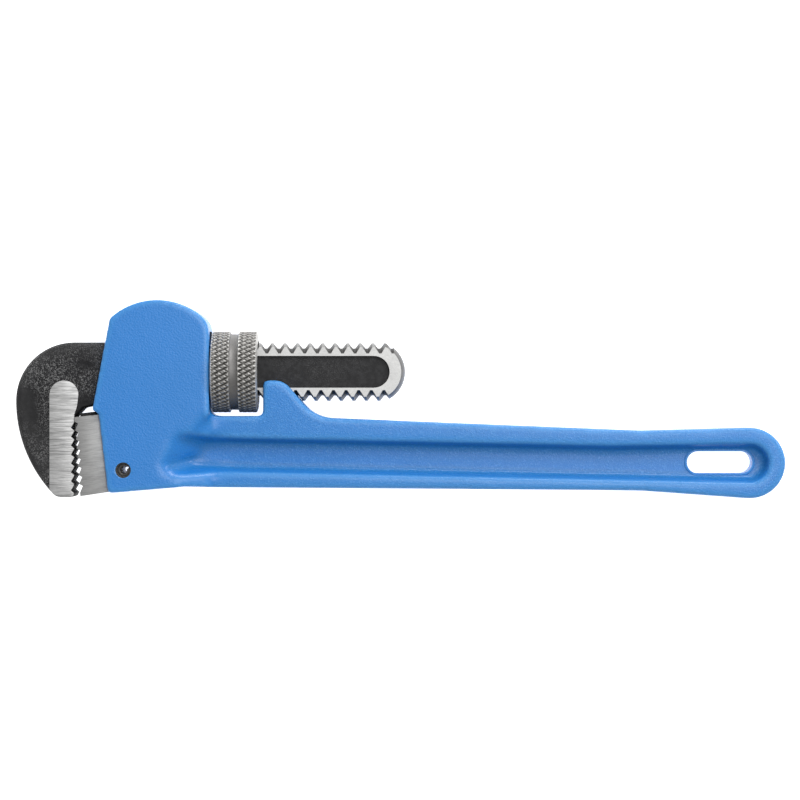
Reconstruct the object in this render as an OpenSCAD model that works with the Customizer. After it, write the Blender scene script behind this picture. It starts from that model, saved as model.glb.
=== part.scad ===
// Straight pipe wrench, 350 mm pattern, lying on its side: the hook jaw is at -X, the handle at +X,
// and the pipe that it grips would stand along Z.
// Every module is drawn in the design frame, where X runs along the thread's axis, x = 0 is the face of the
// housing that the nut bears on, and z = 0 is the middle of the wrench. place() moves it to the part's frame.

/* [Handle] */
// From the nut's bearing face to the end of the handle
handle_reach = 241.7; // [180:0.1:300]
// Height of the handle's narrowest stretch
handle_h = 25.1; // [20:0.1:32]
// Thickness of the handle's flanges
handle_t = 20; // [16:0.5:26]
// Thickness of the web between the flanges
web_t = 8; // [5:0.5:12]
// Width of each flange, seen from the side
flange_w = 6.6; // [4:0.1:8]
// Radius of the handle's round end
end_r = 14.9; // [12:0.1:18]
// Length of the hanging slot
hang_len = 27.5; // [16:0.5:40]
// Width of the hanging slot
hang_w = 9.2; // [6:0.1:12]

/* [Housing] */
// Thickness of the housing around the hook jaw
housing_t = 28; // [24:0.5:34]
// From the nut's bearing face to the heel jaw's seat, at the seat's top
housing_len = 46.2; // [40:0.1:56]
// Radius of the hump over the hook jaw
hump_r = 29; // [26:0.5:34]
// Room between the nut and the floor of its window
window_floor_gap = 1.5; // [1.4:0.1:3]
// Free travel of the nut along its window
window_play = 2.3; // [1.6:0.1:4]
// Lean of the heel jaw's seat from upright, in degrees
seat_tilt = 6.8; // [4:0.1:9]

/* [Hook jaw] */
// Largest opening of the jaws
jaw_opening = 60; // [45:1:75]
// Outer diameter of the thread on the shank
thread_d = 24.5; // [20:0.1:28]
// Pitch of the thread
thread_pitch = 5.3; // [4.2:0.1:6.5]
// Depth of the thread
thread_depth = 2.25; // [1.6:0.05:2.7]
// Thickness of the flat shank
shank_t = 12.8; // [10:0.1:13.4]
// Thickness of the jaw's forged head
head_t = 19.2; // [16:0.1:24]
// How far the ground jaw face stands proud of the forging on each side
pad_proud = 0.4; // [0.2:0.1:0.8]
// Length of the jaws from their inner end to their tip
jaw_len = 34; // [28:0.5:42]
// Width of the ground face beside the hook jaw's teeth
pad_w = 10.4; // [8:0.1:14]
// Radius of the hook's outer bend
bend_r = 24.5; // [22:0.1:28]

/* [Teeth] */
// Distance from tooth to tooth
tooth_pitch = 3.74; // [2.8:0.01:4.6]
// Depth of the teeth
tooth_depth = 1.35; // [0.8:0.05:1.8]

/* [Heel jaw] */
// Width of the heel jaw in front of its seat, at its inner end
heel_w = 10.2; // [8:0.1:13]
// Thickness of the heel jaw
heel_t = 22; // [18:0.5:24]
// Lean of the heel jaw's teeth from upright, in degrees
heel_tilt = 5.5; // [4:0.1:7]
// Thickness of the tongue that holds the heel jaw in the housing
tongue_t = 10; // [7:0.1:12]
// Length of the tongue
tongue_len = 13; // [11:0.1:16]
// Diameter of the spring pin through the tongue
pin_d = 5; // [4:0.1:6]
// Wall of the spring pin
pin_wall = 1; // [0.6:0.1:1.4]
// How far each end of the pin is sunk in its hole
pin_recess = 1.2; // [0:0.1:3]

/* [Nut] */
// Diameter over the knurled bands
nut_d = 34.2; // [32:0.1:38]
// Width of the nut
nut_w = 19.8; // [16:0.1:24]
// Width of the smooth groove between the bands
nut_groove_w = 3.6; // [2:0.1:6]
// Depth of that groove
nut_groove_d = 1.1; // [0.6:0.1:1.8]

/* [Springs] */
// Thickness of the flat spring
leaf_t = 0.8; // [0.6:0.05:1]
// Length of the flat spring
leaf_len = 34; // [28:0.5:36]
// Outer diameter of the coil spring
coil_d = 8.4; // [7:0.1:9]
// Wire diameter of the coil spring
wire_d = 1.2; // [0.8:0.05:1.4]
// Turns of the coil spring
coil_turns = 5; // [3:0.5:6]
// How far the hook jaw rocks open, in degrees
rock_deg = 3; // [2:0.1:3.2]

/* [Hidden] */
$fn = 64;
blue = [0.13, 0.40, 0.80];
black = [0.12, 0.12, 0.12];
gunmetal = [0.33, 0.32, 0.31];
bright = [0.70, 0.70, 0.70];

// Clearances
side_gap = 0.4;     // shank to each wall of its passage
slide_gap = 0.5;    // shank to the floor of its passage
thread_gap = 0.3;   // between the threads of the nut and the shank
pin_gap = 0.03;     // pin to its hole
tongue_gap = 0.2;   // tongue to each wall of its slot
jaw_gap = 0.3;      // between the jaws where they nearly meet
nut_gap = 0.3;      // nut to the face that it bears on
leaf_gap = 0.15;    // flat spring to the shank under it

crest_r = thread_d / 2;
root_r = crest_r - thread_depth;
nut_r = nut_d / 2;
passage_w = shank_t + 2 * side_gap;

// The rocking hook jaw lifts by this much at a place so far in front of the nut.
function lift(run) = run * sin(rock_deg);

// Housing
hump_c = [-0.472 * housing_len, 1.1];
hump_top = hump_c.y + hump_r;
lip = [-housing_len - 2.7, -crest_r - 4];
seat_top = [-housing_len, lip.y - 1.2];
function along_seat(v) = seat_top + v * [sin(seat_tilt), -cos(seat_tilt)];
seat_low = along_seat(jaw_len - 0.3);
front_top = hump_c + hump_r * [cos(134), sin(134)];
housing_rake = (front_top.x - lip.x) / (front_top.y - lip.y);
rear_top_r = 9;
rear_top_a = acos((hump_c.x + rear_top_r) / (rear_top_r - hump_r));
rear_top_y = hump_c.y + sqrt(pow(hump_r - rear_top_r, 2) - pow(rear_top_r + hump_c.x, 2));
roof_y = crest_r + leaf_gap + leaf_t + lift(housing_len) + 1.4;
window_len = nut_gap + nut_w + window_play;
window_floor = -nut_r - window_floor_gap;
pocket_d = coil_d + 1;
spring_x = hump_c.x;
roof_wall = 4.7;

// Handle
handle_top = window_floor - 0.85;
end_c = [handle_reach - end_r, handle_top - 3.95 - end_r];
belly_y = end_c.y - end_r + 4.7;
waist_x = handle_reach - 60;
waist_y = belly_y - 1.3 + handle_h;
hang_c = [end_c.x - 12.3, end_c.y + 0.2];
housing_foot_x = -housing_len + 36;

// Jaws
tooth_x = seat_top.x - heel_w - jaw_gap;
jaw_top = seat_top.y - heel_w * sin(seat_tilt);
jaw_tip = jaw_top - jaw_len;
shank_tail = nut_gap + nut_w + jaw_opening + 2;
shank_top = crest_r + 0.1;
head_c = [tooth_x - 0.3, shank_top - bend_r];
back_r = 57;
head_left = head_c.x - bend_r;
heel_face_top = [seat_top.x - heel_w, jaw_top];
function along_heel(v) = heel_face_top + v * [sin(heel_tilt), -cos(heel_tilt)];
heel_tip = along_heel(jaw_len - 0.4);
pin_c = along_seat(24.8) + 7.5 * [cos(seat_tilt), sin(seat_tilt)];

// The box around the wrench, which sets its origin
box_left = head_left;
box_right = handle_reach;
box_top = hump_top;
box_low = min(end_c.y - end_r, jaw_tip, heel_tip.y, seat_low.y);
box_centre = [(box_left + box_right) / 2, (box_top + box_low) / 2];

module place() {
    translate([-box_centre.x, -box_centre.y, nut_r]) children();
}

// The three corners of a triangle, counted on from a given corner
function corners(start, steps) = [for (k = steps) start + k];

function arc(c, r, from, to, steps = 12) =
    [for (i = [0:steps]) let (a = from + (to - from) * i / steps) c + r * [cos(a), sin(a)]];

// Points from a to b that dip sideways by a V at each tooth; side is 1 for a dip to the left of the way.
function teeth(a, b, side) =
    let (way = (b - a) / norm(b - a), across = side * [-way.y, way.x], n = floor(norm(b - a) / tooth_pitch))
    [for (i = [0:n - 1]) each [a + way * i * tooth_pitch,
                               a + way * (i + 0.5) * tooth_pitch + across * tooth_depth],
     a + way * n * tooth_pitch];

module prism(t) {
    translate([0, 0, -t / 2]) linear_extrude(t) children();
}

module on_both_sides() {
    children();
    mirror([0, 0, 1]) children();
}

// ---- Handle, with its housing in one casting ----

module housing_outline() {
    polygon(concat(
        [lip, seat_top, seat_low, [housing_foot_x, belly_y + 0.3], [0, belly_y]],
        arc([-rear_top_r, rear_top_y], rear_top_r, 0, rear_top_a, 8),
        arc(hump_c, hump_r, rear_top_a + 3, 134, 24)));
}

lug_top = -3.6;
lug_back = window_len + 8;

module beam_outline() {
    sweep_r = 17;
    polygon(concat(
        [[housing_foot_x, belly_y + 0.3], [0, belly_y]],
        [[waist_x - 20, belly_y - 1.2], [waist_x, belly_y - 1.5]],
        arc(end_c, end_r, -94, 94, 32),
        [[waist_x, waist_y]],
        arc([lug_back + 22, handle_top + sweep_r], sweep_r, 270, 220, 10),
        arc([window_len + 4.8, lug_top - 8.4], 8.4, 40, 92, 8),
        arc([window_len + 2, lug_top - 2], 2, 90, 180, 6),
        [[window_len, window_floor], [0, window_floor], [-20, window_floor]]));
}

// The hollow side of the beam, between the flanges, drawn in by a given amount
module panel_outline(inset) {
    r = end_r - flange_w - inset;
    mid = end_c.y;
    polygon(concat(
        arc([-16 + inset + 4, belly_y + flange_w + inset + 4], 4, 180, 270, 6),
        arc([end_c.x, mid], r, -90, 90, 20),
        [[waist_x - 14, waist_y - flange_w - inset + 0.5]],
        arc([-16 + inset + 4, window_floor - 8.7 - inset - 3], 3, 90, 180, 6)));
}

module panel() {
    depth = (handle_t - web_t) / 2;
    slope = 2.2;
    hull() {
        translate([0, 0, web_t / 2]) linear_extrude(0.01) panel_outline(slope);
        translate([0, 0, web_t / 2 + depth + 4]) linear_extrude(0.01) panel_outline(-slope * 4 / depth);
    }
}

// The beam is as thick as the housing where they meet and thins down along this wedge.
module shoulder(from) {
    to = from + 22;
    rotate([-90, 0, 0]) translate([0, 0, belly_y + 0.01])
        linear_extrude(window_floor - belly_y - 0.5)
            polygon([[from, -housing_t / 2], [to, -handle_t / 2], [to, handle_t / 2], [from, housing_t / 2]]);
}

module passage() {
    translate([-70, -crest_r - slide_gap, -passage_w / 2]) cube([71, roof_y + crest_r + slide_gap, passage_w]);
    translate([spring_x, roof_y - 1, 0]) rotate([-90, 0, 0])
        cylinder(d = pocket_d, h = hump_top - roof_wall - roof_y + 1);
}

module nut_window() {
    front_r = 3;
    rear_r = 1.6;
    prism(housing_t + 20) polygon(concat(
        [[0, hump_top + 10], [0, 0]],
        arc([front_r, window_floor + front_r], front_r, 180, 270, 6),
        arc([window_len - rear_r, window_floor + rear_r], rear_r, 270, 360, 6),
        [[window_len, 0], [window_len, hump_top + 10]]));
}

module fork_slot() {
    drop = lift(lug_back + 24);
    translate([window_len - 1, -crest_r - drop - 0.4, -passage_w / 2]) cube([60, 40, passage_w]);
}

module tongue_slot() {
    translate([seat_top.x, seat_top.y, 0]) rotate([0, 0, seat_tilt]) {
        translate([-1, -29.5, -tongue_t / 2 - tongue_gap])
            cube([tongue_len + 1.5, 25, tongue_t + 2 * tongue_gap]);
    }
}

module hang_slot() {
    run = (hang_len - hang_w) / 2;
    translate([hang_c.x, hang_c.y, -housing_t]) {
        translate([-run, 0, 0]) cylinder(d = hang_w, h = 2 * housing_t);
        translate([run, 0, 0]) cylinder(d = hang_w, h = 2 * housing_t);
        translate([-run, -hang_w / 2, 0]) cube([2 * run, hang_w, 2 * housing_t]);
    }
}

module casting() {
    join_x = -18;
    prism(housing_t) intersection() {
        housing_outline();
        union() {
            translate([join_x - 100, -100]) square([100, 200]);
            translate([join_x - 12, window_floor - 0.5]) square([60, 100]);
        }
    }
    prism(handle_t) beam_outline();
    intersection() {
        shoulder(join_x);
        prism(housing_t) union() {
            housing_outline();
            beam_outline();
        }
    }
}

module handle() {
    color(blue) difference() {
        casting();
        on_both_sides() panel();
        nut_window();
        passage();
        fork_slot();
        tongue_slot();
        hang_slot();
        translate([pin_c.x, pin_c.y, -housing_t]) cylinder(d = pin_d + 2 * pin_gap, h = 2 * housing_t);
    }
}

// ---- Hook jaw: forged head, ground jaw face and threaded shank in one piece ----

// The head stops this far short of the housing, which leaves it free to rock.
function shoulder_x(y) = lip.x + (y - lip.y) * housing_rake - (y + nut_r) * sin(rock_deg) - 0.4;

module head_outline() {
    back_c = [head_left + back_r, head_c.y];
    tip_r = 5;
    tip_a = 180 + asin((back_c.y - jaw_tip - tip_r) / (back_r - tip_r));
    tip_c = back_c + (back_r - tip_r) * [cos(tip_a), sin(tip_a)];
    under = -crest_r - 1.2;
    polygon(concat(
        [[shoulder_x(shank_top), shank_top]],
        arc(head_c, bend_r, 90, 180, 20),
        arc(back_c, back_r, 180, tip_a, 16),
        arc(tip_c, tip_r, tip_a, 270, 6),
        [[tooth_x - tooth_depth - 0.6, jaw_tip], [tooth_x - tooth_depth - 0.6, jaw_top + 1],
         [tooth_x, jaw_top - 0.3], [tooth_x + 1.2, jaw_top + 1.2], [tooth_x + 3.4, jaw_top + 3.5],
         [shoulder_x(under), under]]));
}

module pad_outline() {
    left = tooth_x - pad_w;
    r = 6.1;
    c = [left + r, jaw_top + 8.9];
    polygon(concat(
        [[left, jaw_tip + 3.4]],
        [[left, c.y]],
        arc(c, r, 180, 0, 16),
        [[tooth_x + 1.2, jaw_top + 4.3], [tooth_x, jaw_top + 0.5]],
        teeth([tooth_x, jaw_top - 1.2], [tooth_x, jaw_tip + 0.8], -1),
        [[tooth_x - 0.8, jaw_tip + 0.2], [tooth_x - 1.6, jaw_tip], [left + 4.5, jaw_tip], [left + 1.6, jaw_tip + 1.3]]));
}

// Radius of the thread at a share of one pitch: crest, flank, root, flank
thread_form = [[0, crest_r], [0.2, crest_r], [0.5, root_r], [0.7, root_r]];

// The flat threaded bar, as rings of points that follow the helix, so its crests run true
module threaded_bar(from, to) {
    w = shank_t / 2;
    across = 6;
    stations = [for (turn = [ceil(from / thread_pitch):floor(to / thread_pitch) - 1]) each
                [for (f = thread_form) [turn + f[0], f[1]]]];
    ring_n = 2 * (across + 1);
    function edge(s, r, z, low) =
        let (y = sqrt(r * r - z * z), a = atan2(z, y))
        low ? [thread_pitch * (s - a / 360 + 0.5), -y, z] : [thread_pitch * (s + a / 360), y, z];
    points = [for (st = stations) each concat(
        [for (k = [0:across]) edge(st[0], st[1], -w + shank_t * k / across, false)],
        [for (k = [0:across]) edge(st[0], st[1], w - shank_t * k / across, true)])];
    last = len(stations) - 1;
    faces = concat(
        [for (i = [1:ring_n - 2]) [0, i, i + 1]],
        [for (s = [0:last - 1], i = [0:ring_n - 1])
            let (a = s * ring_n + i, b = s * ring_n + (i + 1) % ring_n) each
            [[a, a + ring_n, b + ring_n], [a, b + ring_n, b]]],
        [for (i = [1:ring_n - 2]) corners(last * ring_n, [0, i + 1, i])]);
    polyhedron(points, faces);
}

module shank() {
    dome_r = 13.1;
    recess_depth = 1;
    recess_r = crest_r * 0.51;
    recess_end = shank_tail - 7 - recess_r;
    difference() {
        intersection() {
            union() {
                threaded_bar(-6, shank_tail + 12);
                prism(shank_t) polygon([[lip.x - 6, -crest_r], [-1, -crest_r], [-1, shank_top],
                                        [lip.x - 6, shank_top]]);
            }
            union() {
                translate([-80, -30, -30]) cube([80 + shank_tail - dome_r, 60, 60]);
                translate([shank_tail - dome_r, 0, 0]) sphere(r = dome_r);
            }
        }
        on_both_sides() translate([0, 0, shank_t / 2 - recess_depth]) linear_extrude(5) hull() {
            translate([recess_end, 0]) circle(r = recess_r);
            translate([-24, 0]) circle(r = recess_r);
        }
    }
}

module hook_jaw() {
    color(black) prism(head_t) head_outline();
    color(bright) prism(head_t + 2 * pad_proud) pad_outline();
    color(gunmetal) shank();
}

// ---- Adjusting nut ----

// The inner thread's ridge: one strip that winds round inside the nut, in the gaps of the shank's thread
module nut_thread() {
    steps = 24;
    tip_r = root_r + thread_gap;
    base_r = crest_r + thread_gap + 0.8;
    flank = 0.3 / thread_depth;
    gap = thread_gap / thread_pitch * 1.25;
    // shares of a pitch where the ridge's tip and base stand, measured as in thread_form
    tip = [0.5 - flank * thread_gap + gap, 0.7 + flank * thread_gap - gap];
    base = [tip[0] - flank * (base_r - tip_r), tip[1] + flank * (base_r - tip_r)];
    turns = nut_w / thread_pitch;
    count = floor((turns + 2) * steps);
    points = [for (i = [0:count]) let (t = i / steps - 1, a = 360 * t) each
              [for (p = [[base[0], base_r], [tip[0], tip_r], [tip[1], tip_r], [base[1], base_r]])
               [thread_pitch * (p[0] + t), p[1] * cos(a), p[1] * sin(a)]]];
    faces = concat(
        [[0, 1, 2], [0, 2, 3]],
        [for (s = [0:count - 1], i = [0:3]) let (a = 4 * s + i, b = 4 * s + (i + 1) % 4) each
            [[a, a + 4, b + 4], [a, b + 4, b]]],
        [corners(4 * count, [0, 2, 1]), corners(4 * count, [0, 3, 2])]);
    polyhedron(points, faces);
}

module adjusting_nut() {
    band_w = (nut_w - nut_groove_w) / 2;
    bore_r = crest_r + thread_gap;
    rim = 1.4;
    color(gunmetal) difference() {
        union() {
            translate([nut_gap, 0, 0]) rotate([90, 0, 90]) rotate_extrude($fn = 128) polygon([
                [bore_r, 0], [nut_r - rim, 0], [nut_r, rim], [nut_r, band_w],
                [nut_r - nut_groove_d, band_w + 0.3], [nut_r - nut_groove_d, band_w + nut_groove_w - 0.3],
                [nut_r, band_w + nut_groove_w], [nut_r, nut_w - rim], [nut_r - rim, nut_w], [bore_r, nut_w]]);
            intersection() {
                nut_thread();
                translate([nut_gap, 0, 0]) rotate([0, 90, 0]) cylinder(r = bore_r + 0.5, h = nut_w);
            }
        }
    }
}

// ---- Heel jaw and its pin ----

module heel_jaw() {
    color(bright) difference() {
        union() {
            prism(heel_t) polygon(concat(
                [along_seat(0.4), heel_face_top + [0, -0.4]],
                teeth(along_heel(3.4), along_heel(jaw_len - 1), 1),
                [along_heel(jaw_len - 0.4), along_seat(jaw_len - 0.8)]));
            prism(tongue_t) translate(seat_top) rotate(seat_tilt)
                translate([-0.5, -29.2]) square([tongue_len + 0.5, 24.4]);
        }
        translate([pin_c.x, pin_c.y, -heel_t]) cylinder(d = pin_d + 2 * pin_gap, h = 2 * heel_t);
    }
}

module heel_jaw_pin() {
    pin_len = housing_t - 2 * pin_recess;
    slot_w = 1;
    color(gunmetal) translate([pin_c.x, pin_c.y, -pin_len / 2]) linear_extrude(pin_len) difference() {
        circle(d = pin_d);
        circle(d = pin_d - 2 * pin_wall);
        rotate(35) translate([0, -slot_w / 2]) square([pin_d, slot_w]);
    }
}

// ---- Spring set over the shank ----

leaf_y = shank_top + leaf_gap;
rivet_d = 3;

module flat_spring() {
    curl = 8;
    curl_a = asin(leaf_len / 10 / curl);
    half = leaf_len / 2;
    flat = half - curl * sin(curl_a);
    leaf_w = shank_t - 1.5;
    color(gunmetal) difference() {
        prism(leaf_w) translate([spring_x, 0]) polygon(concat(
            arc([flat, leaf_y + curl], curl, 270, 270 + curl_a, 6),
            arc([flat, leaf_y + curl], curl - leaf_t, 270 + curl_a, 270, 6),
            arc([-flat, leaf_y + curl], curl - leaf_t, 270, 270 - curl_a, 6),
            arc([-flat, leaf_y + curl], curl, 270 - curl_a, 270, 6)));
        translate([spring_x, leaf_y - 1, 0]) rotate([-90, 0, 0]) cylinder(d = rivet_d, h = leaf_t + 2);
    }
}

module spring_rivet() {
    collar_d = coil_d - 2 * wire_d - 0.6;
    color(gunmetal) translate([spring_x, leaf_y, 0]) rotate([-90, 0, 0]) {
        cylinder(d = rivet_d, h = leaf_t + 0.01);
        translate([0, 0, leaf_t]) cylinder(d = collar_d, h = 2.6);
        translate([0, 0, leaf_t + 2.6]) cylinder(d1 = collar_d, d2 = rivet_d - 1, h = 1.2);
    }
}

module coil_spring() {
    around = 8;
    steps = 20;
    mean_r = (coil_d - wire_d) / 2;
    foot = leaf_y + leaf_t + wire_d / 2 + 0.05;
    head = hump_top - roof_wall - wire_d / 2 - 0.05;
    count = coil_turns * steps;
    points = [for (i = [0:count]) let (a = 360 * i / steps, h = foot + (head - foot) * i / count) each
              [for (k = [0:around - 1]) let (b = 360 * k / around, r = mean_r + wire_d / 2 * cos(b))
               [spring_x + r * cos(a), h + wire_d / 2 * sin(b), r * sin(a)]]];
    faces = concat(
        [for (k = [1:around - 2]) [0, k, k + 1]],
        [for (s = [0:count - 1], k = [0:around - 1])
            let (a = s * around + k, b = s * around + (k + 1) % around) each
            [[a, a + around, b + around], [a, b + around, b]]],
        [for (k = [1:around - 2]) corners(count * around, [0, k + 1, k])]);
    color(gunmetal) polyhedron(points, faces);
}

place() handle();
place() hook_jaw();
place() adjusting_nut();
place() heel_jaw();
place() heel_jaw_pin();
place() flat_spring();
place() coil_spring();
place() spring_rivet();
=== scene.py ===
"""Looks for a straight pipe wrench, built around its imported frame.

Every mesh is drawn on the bench in millimetres: x runs along the thread's axis with x = 0 on the housing
face that the nut bears on, y runs up the housing, and z = 0 is the middle of the wrench. Bench.place() then
moves a finished mesh into the frame, in metres.
"""

import logging
import math
from collections.abc import Callable
from dataclasses import dataclass
from enum import Enum

import bmesh
import bpy
import numpy as np
from mathutils import Matrix, Vector


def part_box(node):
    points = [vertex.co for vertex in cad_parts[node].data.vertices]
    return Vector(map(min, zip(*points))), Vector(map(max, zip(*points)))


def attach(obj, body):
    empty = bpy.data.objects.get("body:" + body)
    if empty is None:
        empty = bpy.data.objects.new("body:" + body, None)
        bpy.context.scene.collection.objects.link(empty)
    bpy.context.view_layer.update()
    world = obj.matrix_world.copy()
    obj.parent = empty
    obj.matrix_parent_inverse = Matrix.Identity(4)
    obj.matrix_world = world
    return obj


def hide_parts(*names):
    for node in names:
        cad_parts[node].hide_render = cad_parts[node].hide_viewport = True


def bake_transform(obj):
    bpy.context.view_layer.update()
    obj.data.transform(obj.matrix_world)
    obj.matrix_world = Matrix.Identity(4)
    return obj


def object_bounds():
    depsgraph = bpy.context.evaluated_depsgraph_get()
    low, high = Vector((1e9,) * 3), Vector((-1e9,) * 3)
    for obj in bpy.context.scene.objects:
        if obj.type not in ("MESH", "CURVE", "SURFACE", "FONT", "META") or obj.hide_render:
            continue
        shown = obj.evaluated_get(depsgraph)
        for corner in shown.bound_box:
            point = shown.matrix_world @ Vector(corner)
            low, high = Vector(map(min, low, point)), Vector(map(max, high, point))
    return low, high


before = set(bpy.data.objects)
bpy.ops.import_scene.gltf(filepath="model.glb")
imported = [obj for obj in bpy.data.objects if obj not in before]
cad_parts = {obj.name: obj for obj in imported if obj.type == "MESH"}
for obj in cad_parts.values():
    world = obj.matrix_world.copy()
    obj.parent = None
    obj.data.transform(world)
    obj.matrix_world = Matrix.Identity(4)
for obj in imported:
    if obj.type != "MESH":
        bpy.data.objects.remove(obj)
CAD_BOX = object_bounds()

LOG = logging.getLogger("pipe_wrench")
MM = 0.001
RIM = "rim"
THREAD = (12.25, 10.0, 5.3)  # crest radius, root radius and pitch
TOOTH = (3.74, 1.35)  # pitch and depth of both jaws' teeth
THROUGH = 40.0  # from the middle to the end of a tool that cuts right through

Point = tuple[float, float]
Corner = tuple[float, float, float]
Colour = tuple[float, float, float]


# ---- Bench: drawing and cutting solids ----


def polar(centre: Point, radius: float, degrees: float) -> Point:
    """Returns the point of a circle at an angle from +x."""
    turn = math.radians(degrees)
    return centre[0] + radius * math.cos(turn), centre[1] + radius * math.sin(turn)


@dataclass(frozen=True)
class Bench:
    """The drawing's place in the frame.

    Args:
        origin: the bench's origin in the frame, in metres.
    """

    origin: Vector

    @classmethod
    def at_nut(cls, nut_gap: float) -> "Bench":
        """Finds the bench from the nut, which sits on the thread's axis.

        Args:
            nut_gap: play between the nut and the face that it bears on, in millimetres.

        Returns:
            The bench.
        """
        low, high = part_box("adjusting_nut")
        middle = (low + high) / 2
        return cls(Vector((low.x - nut_gap * MM, middle.y, middle.z)))

    def box(self, node: str) -> tuple[Vector, Vector]:
        """Returns the lowest and highest corner of a CAD node, in bench millimetres."""
        low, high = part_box(node)
        return (low - self.origin) / MM, (high - self.origin) / MM

    def place(self, piece: bpy.types.Object) -> None:
        """Moves a bench mesh into the frame and leaves its object at the origin."""
        piece.data.transform(Matrix.Translation(self.origin) @ Matrix.Scale(MM, 4))


class Sketch:
    """An outline in the x, y plane, drawn point by point."""

    def __init__(self) -> None:
        """Starts an empty outline."""
        self.points: list[Point] = []
        self.rounds: list[float] = []

    def to(self, *points: Point, radius: float = 0.0) -> "Sketch":
        """Adds corners, each to be rounded by the same radius."""
        self.points.extend(points)
        self.rounds.extend([radius] * len(points))
        return self

    def arc(self, centre: Point, radius: float, start: float, end: float, steps: int) -> "Sketch":
        """Adds an arc.

        Args:
            centre: the arc's centre.
            radius: its radius.
            start: the angle where it starts, in degrees.
            end: the angle where it ends.
            steps: how many chords stand for it.

        Returns:
            The same sketch.
        """
        return self.to(*(polar(centre, radius, start + (end - start) * i / steps) for i in range(steps + 1)))

    def teeth(self, start: Point, end: Point, pitch: float, depth: float, side: int, lean: float) -> "Sketch":
        """Adds a row of leaning teeth from start towards end.

        Args:
            start: the first crest.
            end: the point that the row runs towards.
            pitch: distance from crest to crest.
            depth: how deep the valleys are.
            side: 1 where the valleys dip to the left of the way, -1 to the right.
            lean: how far along its pitch each valley lies.

        Returns:
            The same sketch.
        """
        crest_land = 0.14
        first, way = Vector(start), Vector(end) - Vector(start)
        count = int(way.length / pitch)
        way.normalize()
        across = Vector((-way.y, way.x)) * side * depth
        for i in range(count):
            crest = first + way * (i * pitch)
            self.to(tuple(crest - way * (crest_land if i else 0)), tuple(crest + way * crest_land))
            self.to(tuple(crest + way * (pitch * lean) + across))
        return self.to(tuple(first + way * (count * pitch)))

    def face(self, mesh: bmesh.types.BMesh, z: float) -> bmesh.types.BMFace:
        """Draws the outline as one face, with its round corners cut.

        Args:
            mesh: the mesh that takes the face, as its last one.
            z: its height.

        Returns:
            The face.
        """
        steps = 5
        verts = [mesh.verts.new((x, y, z)) for x, y in self.points]
        mesh.faces.new(verts)
        for vert, radius in zip(verts, self.rounds):
            if radius:
                arms = [edge.other_vert(vert).co - vert.co for edge in vert.link_edges]
                run = radius / math.tan(arms[0].angle(arms[1]) / 2)
                bmesh.ops.bevel(mesh, geom=[vert], offset=run, affect="VERTICES", segments=steps,
                                profile=0.5, material=-1)
        mesh.faces.ensure_lookup_table()
        return mesh.faces[-1]


def to_object(mesh: bmesh.types.BMesh, name: str) -> bpy.types.Object:
    """Turns a bmesh into a linked object and frees it."""
    data = bpy.data.meshes.new(name)
    mesh.to_mesh(data)
    mesh.free()
    piece = bpy.data.objects.new(name, data)
    bpy.context.scene.collection.objects.link(piece)
    return piece


def modify(piece: bpy.types.Object, kind: str, **settings: object) -> bpy.types.Object:
    """Runs one modifier on a piece and keeps its result as the piece's mesh.

    Args:
        piece: the piece to change.
        kind: the modifier's type.
        **settings: the modifier's settings.

    Returns:
        The same piece.
    """
    modifier = piece.modifiers.new(kind.title(), kind)
    for key, value in settings.items():
        setattr(modifier, key, value)
    graph = bpy.context.evaluated_depsgraph_get()
    data = bpy.data.meshes.new_from_object(piece.evaluated_get(graph))
    old = piece.data
    piece.modifiers.clear()
    piece.data = data
    bpy.data.meshes.remove(old)
    return piece


def combine(piece: bpy.types.Object, operation: str, *tools: bpy.types.Object) -> bpy.types.Object:
    """Welds tools to a piece, cuts them from it or keeps what they share, and throws the tools away.

    Args:
        piece: the solid to change.
        operation: UNION, DIFFERENCE or INTERSECT.
        *tools: the solids that change it, one after the other.

    Returns:
        The same piece.
    """
    for tool in tools:
        modify(piece, "BOOLEAN", operation=operation, object=tool, solver="MANIFOLD")
        bpy.data.meshes.remove(tool.data)
    return piece


def only(parts: list, kind: type) -> list:
    """Returns the points, edges or faces among what an operator made."""
    return [part for part in parts if isinstance(part, kind)]


def slab(sketch: Sketch, low: float, high: float, rim: float = 0.0, segments: int = 4,
         share: Callable[[Vector], float] | None = None) -> bpy.types.Object:
    """Extrudes a sketch along z and rounds its two rims.

    Args:
        sketch: the outline.
        low: height of the lower face.
        high: height of the upper face.
        rim: radius of the rounded rims, 0 for sharp ones.
        segments: steps of the rounding.
        share: gives the share of that radius which a rim edge takes, from its middle point.

    Returns:
        A closed solid.
    """
    mesh = bmesh.new()
    face = sketch.face(mesh, low)
    grown = bmesh.ops.extrude_face_region(mesh, geom=[face])["geom"]
    bmesh.ops.translate(mesh, verts=only(grown, bmesh.types.BMVert), vec=(0, 0, high - low))
    bmesh.ops.recalc_face_normals(mesh, faces=mesh.faces)
    weight = mesh.edges.layers.float.new("bevel_weight_edge")
    for edge in mesh.edges:
        start, end = (vert.co for vert in edge.verts)
        if abs(start.z - end.z) < 1e-4:
            edge[weight] = share((start + end) / 2) if share else 1.0
    solid = to_object(mesh, "slab")
    if rim:
        modify(solid, "BEVEL", limit_method="WEIGHT", width=rim, segments=segments, profile=0.5)
    return solid


def loft(low: Sketch, z_low: float, high: Sketch, z_high: float) -> bpy.types.Object:
    """Makes a solid whose outline changes from one sketch to another with as many points.

    Args:
        low: the outline at the lower end.
        z_low: its height.
        high: the outline at the upper end.
        z_high: its height.

    Returns:
        A closed solid.
    """
    mesh = bmesh.new()
    low.face(mesh, z_low)
    high.face(mesh, z_high)
    bmesh.ops.bridge_loops(mesh, edges=mesh.edges[:])
    bmesh.ops.recalc_face_normals(mesh, faces=mesh.faces)
    return to_object(mesh, "loft")


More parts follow.
